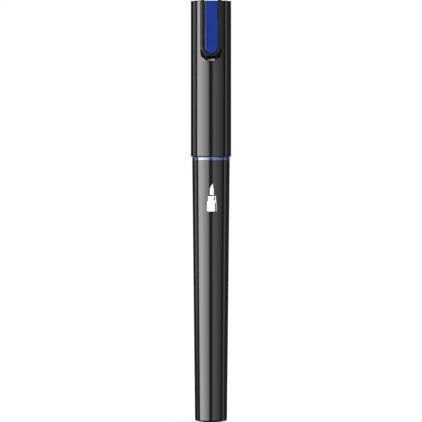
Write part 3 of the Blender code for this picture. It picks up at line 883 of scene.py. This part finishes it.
def clip_arm():
    """The clip's outer form: a chamfer about its face, softer round its lower end."""
    angles = [math.pi * step / ARC_STEPS for step in range(ARC_STEPS + 1)]
    spots = [(math.cos(angle), math.sin(angle), clip_arc_height) for angle in angles]
    spots = [(1, 0, clip_high.z)] + spots + [(-1, 0, clip_high.z)]
    loops = [[(clip_half * x, clip_back, z - clip_half * low) for x, low, z in spots]]
    edges = [clip_edge(low) for x, low, z in spots]
    for step in range(len(edges[0])):
        loop = []
        for (x, low, z), edge in zip(spots, edges):
            reach = clip_half - edge[step][0]
            loop.append((reach * x, clip_low.y + edge[step][1], z - reach * low))
        loops.append(loop)
    return loop_mesh("clip_tool", loops)


def clip_bed():
    """A tool for the bed of the clip's insert, open to the top, with a soft upper edge."""
    profile = [(bed_half, insert_high.y + NEAR)]
    for inset, rise in edge_steps(CLIP_BED_ROUND, CLIP_BED_ROUND):
        profile.append((bed_half + inset, clip_low.y + CLIP_BED_ROUND - rise - CLIP_BED_LIFT))
    profile.append((bed_half + CLIP_BED_ROUND, clip_low.y - MM))
    loops = []
    for half, y in profile:
        loops.append(upright(tongue(half, clip_arc_height, clip_high.z + MM), y))
    return loop_mesh("bed_tool", loops)


def box_outline(half, low, high):
    return [(-half, low), (half, low), (half, high), (-half, high)]


def build_clip():
    arm = loose("clip_tool", clip_arm())
    bed = loose("bed_tool", clip_bed())
    combine(arm, bed, "DIFFERENCE")
    notch_outline = box_outline(bed_half, strip_high.z, clip_high.z + MM)
    prism = front_prism("notch_tool", notch_outline, clip_low.y - MM, clip_back + MM)
    notch = loose("notch_tool", prism)
    combine(arm, notch, "DIFFERENCE")
    nub_outline = box_outline(NUB_REACH, clip_arc_height - NUB_HALF, clip_arc_height + NUB_HALF)
    prism = front_prism("nub_tool", nub_outline, clip_back - NUB_ROUND, clip_high.y)
    nub = loose("nub_tool", prism)
    bevel(nub, NUB_ROUND)
    combine(arm, nub, "UNION")
    mesh = settled("clip_skin", arm, bed, notch, nub)
    return add_piece("clip_skin", mesh, "clip", "gloss_black", "clip")


def build_clip_insert():
    loops = [upright(tongue(insert_half, insert_arc_height, insert_high.z), insert_high.y)]
    for inset, rise in edge_steps(INSERT_ROUND, INSERT_ROUND_DEPTH):
        y = insert_low.y + INSERT_ROUND_DEPTH - rise
        outline = tongue(insert_half - inset, insert_arc_height, insert_high.z)
        loops.append(upright(outline, y))
    mesh = settled("clip_insert_skin", loose("insert_tool", loop_mesh("insert_tool", loops)))
    return add_piece("clip_insert_skin", mesh, "clip", "ink_blue", "clip_insert")


# Front section, holder and nib, which show when the cap is off, and the inner cap and spring


def build_front_section():
    mouth = ring_high.z + SEAT_GAP
    plug_bore, plug_radius = radii_at("front_section", section_low.z)
    nose_bore = radii_at("front_section", section_high.z)[0]
    nose_low = section_high.z - NOSE_LENGTH
    nose_radius = radii_at("front_section", nose_low)[1]
    grip_high = nose_low - NOSE_CONE_LENGTH
    grip_radius = radii_at("front_section", grip_high)[1]
    bead = heights("front_section", section_high.x)[0]
    cage_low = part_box("valve_cage")[0].z - SEAT_GAP
    outline = [
        (nose_bore, section_high.z, SMALL_ROUND),
        (nose_radius, section_high.z, NOSE_ROUND),
        (nose_radius, nose_low, NOSE_ROUND),
        (grip_radius, grip_high, NOSE_ROUND),
        (grip_radius, bead + BEAD_HALF, SMALL_ROUND),
        (section_high.x, bead, BEAD_HALF),
        (grip_radius, bead - BEAD_HALF, SMALL_ROUND),
        (grip_radius, mouth, SMALL_ROUND),
        (plug_radius, mouth),
        (plug_radius, section_low.z),
        (plug_bore, section_low.z),
        (plug_bore, cage_low),
        (valve_bore, cage_low),
        (valve_bore, valve_ledge),
        (nib_chamber, valve_ledge),
        (nib_chamber, nib_ledge),
        (nose_bore, nib_ledge),
    ]
    return turned_piece("front_section_skin", outline, "barrel", "section_black", "front_section")


def build_nib_holder():
    bore = radii("nib_holder", holder_low.z, holder_high.z)[0]
    flange_top = heights("nib_holder", holder_high.x)[-1]
    sleeve = radii("nib_holder", flange_top + NEAR, holder_high.z)[1]
    outline = [
        (bore, holder_high.z, SMALL_ROUND),
        (sleeve - HOLDER_CHAMFER, holder_high.z, SMALL_ROUND),
        (sleeve, holder_high.z - HOLDER_CHAMFER, SMALL_ROUND),
        (sleeve, flange_top),
        (holder_high.x, flange_top),
        (holder_high.x, holder_low.z),
        (bore, holder_low.z),
    ]
    claims = ("pump", "natural_plastic", "nib_holder")
    return turned_piece("nib_holder_skin", outline, *claims, segments=SMALL_SEGMENTS)


def build_brush_nib():
    """Bonded fibres in shallow flutes, swelling a little and then leaning to a fine point."""
    shank = radii_at("brush_nib", nib_low.z)[1]
    tip = [p for p in points_of("brush_nib") if p.z > nib_high.z - NEAR]
    bend = sum(p.x for p in tip) / len(tip)
    root = holder_high.z + SEAT_GAP
    sections = [(nib_low.z, shank, 0, 0), (holder_high.z - SEAT_GAP, shank, 0, 0)]
    for step in range(NIB_RINGS + 1):
        share = 1 - (1 - step / NIB_RINGS) ** NIB_RING_POWER
        full = shank + NIB_BELLY * math.sin(math.pi * min(share / NIB_BELLY_SHARE, 1))
        radius = NIB_TIP_RADIUS + (full - NIB_TIP_RADIUS) * (1 - share**NIB_POINT_POWER)
        flute = NIB_FLUTE_DEPTH * smooth_step(0, NIB_FLUTE_START, share) * radius / shank
        sections.append((root + (nib_high.z - root) * share, radius, bend * share**2, flute))
    loops = []
    for height, radius, lean, flute in sections:
        loop = []
        for step in range(SEGMENTS):
            angle = math.tau * step / SEGMENTS
            reach = radius - flute * (0.5 - 0.5 * math.cos(NIB_FLUTES * angle))
            loop.append((lean + reach * math.cos(angle), reach * math.sin(angle), height))
        loops.append(loop)
    mesh = loop_mesh("brush_nib_skin", loops)
    return add_piece("brush_nib_skin", mesh, "pump", "stained_fibre", "brush_nib")


def build_inner_cap():
    lip_bore, lip_radius = radii_at("inner_cap", liner_low.z)
    flange_low = heights("inner_cap", liner_high.x)[0]
    tube_bore = radii_at("inner_cap", liner_flange_top)[0]
    tube_radius = upper_bore - PRESS_GAP
    cone_low = heights("inner_cap", lip_bore)[-1]
    ceiling = heights("inner_cap", tube_bore)[-1]
    outline = [
        (0, liner_high.z),
        (tube_radius, liner_high.z, NOSE_ROUND),
        (tube_radius, liner_flange_top),
        (liner_high.x, liner_flange_top),
        (liner_high.x, flange_low, SMALL_ROUND),
        (lip_radius, flange_low),
        (lip_radius, liner_low.z, SMALL_ROUND),
        (lip_bore, liner_low.z, SMALL_ROUND),
        (lip_bore, cone_low),
        (tube_bore, liner_flange_top),
        (tube_bore, ceiling, NOSE_ROUND),
        (0, ceiling),
    ]
    claims = ("cap", "natural_plastic", "inner_cap")
    return turned_piece("inner_cap_skin", outline, *claims, segments=SMALL_SEGMENTS)


def spring_height(turn):
    """The wire's height at a turn: flat closed turns at both ends, even ones between."""
    low = spring_low.z + SPRING_WIRE
    high = spring_high.z - SPRING_WIRE
    closed = 2 * SPRING_WIRE * SPRING_END_TURNS
    if turn < SPRING_END_TURNS:
        return low + closed * turn / SPRING_END_TURNS
    if turn > SPRING_TURNS - SPRING_END_TURNS:
        return high - closed * (SPRING_TURNS - turn) / SPRING_END_TURNS
    share = (turn - SPRING_END_TURNS) / (SPRING_TURNS - 2 * SPRING_END_TURNS)
    return low + closed + (high - low - 2 * closed) * share


def build_valve_spring():
    reach = spring_high.x - SPRING_WIRE
    count = SPRING_TURNS * SPRING_STEPS
    path = []
    for step in range(count + 1):
        turn = step / SPRING_STEPS
        angle = math.tau * turn
        path.append(Vector((reach * math.cos(angle), reach * math.sin(angle), spring_height(turn))))
    loops = []
    for index, place in enumerate(path):
        along = (path[min(index + 1, count)] - path[max(index - 1, 0)]).normalized()
        out = Vector((place.x, place.y, 0)).normalized()
        up = along.cross(out)
        loop = []
        for side in range(SPRING_WIRE_SIDES):
            angle = math.tau * side / SPRING_WIRE_SIDES
            loop.append(place + SPRING_WIRE * (math.cos(angle) * out + math.sin(angle) * up))
        loops.append(loop)
    mesh = loop_mesh("valve_spring_skin", loops)
    spring = add_piece("valve_spring_skin", mesh, "barrel", "steel", "valve_spring")
    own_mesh(spring)
    return spring


# Printed sign


def sign_panel(shape, rows):
    """A printed patch on the barrel from rows of (height, left, right), as a thin closed shell."""
    grids = []
    for lift in (SIGN_PROUD, -SIGN_FOOT):
        grid = []
        for height, left, right in rows:
            z = sign_low + height * MM
            radius = barrel_outer(z) + lift
            line = []
            for column in range(SIGN_COLUMNS + 1):
                x = sign_middle + (left + (right - left) * column / SIGN_COLUMNS) * MM
                line.append(shape.verts.new((x, -math.sqrt(radius * radius - x * x), z)))
            grid.append(line)
        grids.append(grid)
    for grid in grids:
        for one, other in zip(grid, grid[1:]):
            for column in range(SIGN_COLUMNS):
                shape.faces.new((one[column], one[column + 1], other[column + 1], other[column]))
    rims = []
    for grid in grids:
        columns = list(zip(*grid))
        rims.append((grid[0], grid[-1], columns[0], columns[-1]))
    for front, back in zip(*rims):
        for index in range(1, len(front)):
            shape.faces.new((front[index - 1], front[index], back[index], back[index - 1]))


def build_sign():
    shape = bmesh.new()
    for rows in (SIGN_BODY, SIGN_BAR, SIGN_BRUSH):
        sign_panel(shape, rows)
    return add_piece("brush_sign", finished("brush_sign", shape), "barrel", None)


# Finishes


def new_finish(name):
    """A node material, its tree, its shader and its place in the frame in metres."""
    made = bpy.data.materials.new(name)
    made.use_nodes = True
    tree = made.node_tree
    coords = tree.nodes.new("ShaderNodeTexCoord")
    return made, tree, tree.nodes["Principled BSDF"], coords.outputs["Object"]


def add_node(tree, kind, output, **inputs):
    """The output of a new node, whose inputs are linked to sockets or set to values."""
    made = tree.nodes.new(f"ShaderNode{kind}")
    for name, value in inputs.items():
        socket = made.inputs[name.replace("_", " ")]
        if isinstance(value, bpy.types.NodeSocket):
            tree.links.new(value, socket)
        else:
            socket.default_value = value
    return made.outputs[output]


def noise(tree, place, scale, detail, stretch=None):
    """A noise of features about 1 / scale metres wide, optionally drawn out along an axis."""
    if stretch is not None:
        place = add_node(tree, "Mapping", "Vector", Vector=place, Scale=stretch)
    return add_node(tree, "TexNoise", "Fac", Vector=place, Scale=scale, Detail=detail)


def mapped(tree, value, low, high, new_low=0, new_high=1):
    """A value carried over from one range of numbers to another."""
    ends = {"From_Min": low, "From_Max": high, "To_Min": new_low, "To_Max": new_high}
    return add_node(tree, "MapRange", "Result", Value=value, **ends)


def tint(tree, value, dark, light):
    """A noise spread between two colours."""
    made = tree.nodes.new("ShaderNodeValToRGB")
    made.color_ramp.elements[0].position = NOISE_LOW
    made.color_ramp.elements[0].color = (*dark, 1)
    made.color_ramp.elements[1].position = NOISE_HIGH
    made.color_ramp.elements[1].color = (*light, 1)
    tree.links.new(value, made.inputs["Fac"])
    return made.outputs["Color"]


def plain_finish(name, dark, light, rough, grain, depth, mottle=MOTTLE, stretch=None, **sockets):
    """A surface with mottled colour, uneven roughness and a fine grain.

    Grain and mottle are in features per metre, the grain's depth is in metres, and any other
    value goes to the shader's socket of that name.
    """
    made, tree, shader, place = new_finish(name)
    colour = tint(tree, noise(tree, place, mottle, MOTTLE_DETAIL, stretch), dark, light)
    haze = noise(tree, place, mottle / 2, GRAIN_DETAIL, stretch)
    haze = mapped(tree, haze, NOISE_LOW, NOISE_HIGH, *rough)
    bumps = noise(tree, place, grain, GRAIN_DETAIL, stretch)
    bumps = add_node(tree, "Bump", "Normal", Height=bumps, Strength=1, Distance=depth)
    for socket, value in (("Base Color", colour), ("Roughness", haze), ("Normal", bumps)):
        tree.links.new(value, shader.inputs[socket])
    for socket, value in sockets.items():
        shader.inputs[socket.replace("_", " ")].default_value = value
    return made


def dress(pieces, finish):
    for piece in pieces:
        piece.data.materials.clear()
        piece.data.materials.append(finish)


# Light, floor and camera


def ramp(tree, value, stops):
    """A value drawn through (position, level) stops, as a grey colour."""
    made = tree.nodes.new("ShaderNodeValToRGB")
    places = made.color_ramp.elements
    places.remove(places[1])
    for index, (position, level) in enumerate(sorted(stops)):
        stop = places[0] if index == 0 else places.new(position)
        stop.position = position
        stop.color = (level, level, level, 1)
    tree.links.new(value, made.inputs["Fac"])
    return made.outputs["Color"]


def calc(tree, operation, one, other):
    """A Math node of two inputs, each a socket or a number."""
    made = tree.nodes.new("ShaderNodeMath")
    made.operation = operation
    for socket, value in zip(made.inputs, (one, other)):
        if isinstance(value, (int, float)):
            socket.default_value = value
        else:
            tree.links.new(value, socket)
    return made.outputs["Value"]


def turn_stop(degrees):
    return (degrees + FULL_TURN / 2) / FULL_TURN


def rise_stop(degrees):
    return (math.sin(math.radians(degrees)) + 1) / 2


def lamp(tree, around, rise, turns, shares):
    """A light's radiance from its stops about the marker and its share by height."""
    peak = max(radiance for _, radiance in turns)
    level = ramp(tree, around, [(turn_stop(angle), radiance / peak) for angle, radiance in turns])
    share = ramp(tree, rise, [(rise_stop(angle), part) for angle, part in shares])
    return calc(tree, "MULTIPLY", calc(tree, "MULTIPLY", level, share), peak)


def build_world():
    """White to the camera; mirrored, a dark studio with light strips and a pale ceiling."""
    world = bpy.data.worlds.new("studio")
    bpy.context.scene.world = world
    world.use_nodes = True
    tree = world.node_tree
    tree.nodes.clear()
    coords = tree.nodes.new("ShaderNodeTexCoord")
    axes = tree.nodes.new("ShaderNodeSeparateXYZ")
    tree.links.new(coords.outputs["Generated"], axes.inputs["Vector"])
    front = calc(tree, "MULTIPLY", axes.outputs["Y"], -1)
    around = calc(tree, "ARCTAN2", axes.outputs["X"], front)
    around = mapped(tree, around, -math.pi, math.pi)
    rise = mapped(tree, axes.outputs["Z"], -1, 1)
    total = 0.0
    for turns, shares in STUDIO_LIGHTS:
        total = calc(tree, "ADD", total, lamp(tree, around, rise, turns, shares))
    studio = add_node(tree, "Background", "Background", Color=WHITE, Strength=total)
    white = add_node(tree, "Background", "Background", Color=WHITE)
    path = tree.nodes.new("ShaderNodeLightPath")
    direct, through = path.outputs["Is Camera Ray"], path.outputs["Is Transmission Ray"]
    seen = calc(tree, "MAXIMUM", direct, through)
    mixed = tree.nodes.new("ShaderNodeMixShader")
    tree.links.new(seen, mixed.inputs["Fac"])
    tree.links.new(studio, mixed.inputs[1])
    tree.links.new(white, mixed.inputs[2])
    output = tree.nodes.new("ShaderNodeOutputWorld")
    tree.links.new(mixed.outputs["Shader"], output.inputs["Surface"])


def build_floor():
    """A pale floor that the camera sees as white, apart from the marker's shadow."""
    shape = bmesh.new()
    bmesh.ops.create_circle(shape, cap_ends=True, segments=SEGMENTS, radius=FLOOR_RADIUS)
    floor = loose("floor", finished("floor", shape))
    floor.visible_glossy = False
    made, tree, shader, place = new_finish("pale_floor")
    colour = tint(tree, noise(tree, place, FLOOR_MOTTLE, FLOOR_DETAIL), FLOOR_DARK, FLOOR_LIGHT)
    tree.links.new(colour, shader.inputs["Base Color"])
    shader.inputs["Roughness"].default_value = FLOOR_ROUGHNESS
    shader.inputs["Specular IOR Level"].default_value = FLOOR_SPECULAR
    shader.inputs["Emission Color"].default_value = WHITE
    path = tree.nodes.new("ShaderNodeLightPath")
    lift = calc(tree, "MULTIPLY", path.outputs["Is Camera Ray"], FLOOR_LIFT)
    tree.links.new(lift, shader.inputs["Emission Strength"])
    dress([floor], made)


def build_camera():
    camera = bpy.data.cameras.new("camera")
    camera.angle = 2 * math.atan(PIXELS * PIXEL / 2 / CAMERA_DISTANCE)
    camera.clip_start = CAMERA_CLIP_START
    seat = loose("camera", camera)
    seat.location = (0, -CAMERA_DISTANCE, (TAIL_ROW - PIXELS / 2) * PIXEL)
    seat.rotation_euler = (math.pi / 2, 0, 0)
    bpy.context.scene.camera = seat


build_world()
build_floor()
build_camera()

black = plain_finish(
    "gloss_black", BLACK, BLACK_LIGHT, rough=(0.06, 0.1), grain=1500, depth=0.4e-6
)
satin = plain_finish(
    "clip_black", BLACK, BLACK_LIGHT, rough=(0.16, 0.2), grain=2500, depth=0.6e-6
)
grip = plain_finish(
    "section_black", GRIP_BLACK, GRIP_LIGHT, rough=(0.34, 0.44), grain=9000, depth=4e-6
)
blue = plain_finish(
    "ink_blue",
    BLUE,
    BLUE_LIGHT,
    rough=(0.1, 0.15),
    grain=1800,
    depth=0.4e-6,
    Specular_IOR_Level=0.25,
)
ring_blue = plain_finish(
    "ring_blue", RING_BLUE, RING_BLUE_LIGHT, rough=(0.08, 0.12), grain=1800, depth=0.4e-6, IOR=2.0
)
natural = plain_finish(
    "natural_plastic",
    NATURAL,
    NATURAL_LIGHT,
    rough=(0.36, 0.46),
    grain=5000,
    depth=3e-6,
    Subsurface_Weight=0.2,
    Subsurface_Radius=(MM, MM, MM),
)
fibre = plain_finish(
    "stained_fibre",
    FIBRE,
    FIBRE_LIGHT,
    rough=(0.75, 0.95),
    grain=9000,
    depth=20e-6,
    mottle=3000,
    stretch=(1, 1, 0.05),
    Sheen_Weight=0.3,
)
steel = plain_finish(
    "steel",
    STEEL,
    STEEL_LIGHT,
    rough=(0.18, 0.32),
    grain=6000,
    depth=1e-6,
    mottle=900,
    Metallic=1.0,
)
rubber = plain_finish(
    "seal_rubber", RUBBER, RUBBER_LIGHT, rough=(0.65, 0.8), grain=5000, depth=5e-6
)
ink = plain_finish(
    "white_ink", INK, INK_LIGHT, rough=(0.45, 0.6), grain=8000, depth=2e-6, mottle=2500
)

dress([build_barrel(), build_tail_plug(), build_cap_shell(), build_crown()], black)
dress([build_crown_rails(), build_crown_root(), build_clip()], satin)
dress([build_crown_strip(), build_clip_insert()], blue)
dress([build_collar_ring()], ring_blue)
dress([build_front_section()], grip)
dress([build_nib_holder(), build_inner_cap()], natural)
dress([nodes[name] for name in ("valve_seat", "valve_cage", "valve_plunger")], natural)
dress([build_brush_nib()], fibre)
dress([build_valve_spring(), nodes["mixing_ball"]], steel)
dress([nodes["plunger_seal"]], rubber)
dress([build_sign()], ink)

bpy.context.scene.view_settings.view_transform = "Standard"
